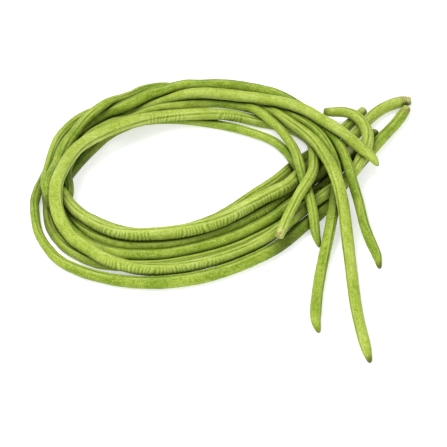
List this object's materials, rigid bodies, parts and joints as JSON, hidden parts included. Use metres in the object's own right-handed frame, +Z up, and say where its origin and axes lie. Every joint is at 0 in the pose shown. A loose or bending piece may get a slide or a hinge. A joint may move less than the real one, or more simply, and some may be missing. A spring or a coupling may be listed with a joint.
{
  "type": "yardlong bean bunch",
  "caption": "Bunch of long, slim green bean pods looped into an open oval, with curled stem ends and pointed tips.",
  "frame": {"origin": "centre of the bounding box on the surface that the bunch lies on", "axes": "+X towards the pods' stem ends and tips, +Y towards the far side of the loop, +Z up"},
  "size_m": [0.253, 0.2574, 0.0316],
  "materials": {
    "pod_green": "satin"
  },
  "bodies": {
    "root": {"pod_outer": "pod_green", "pod_upper": "pod_green", "pod_middle": "pod_green", "pod_inner": "pod_green", "pod_centre": "pod_green", "pod_over": "pod_green", "pod_long": "pod_green"}
  },
  "joints": []
}
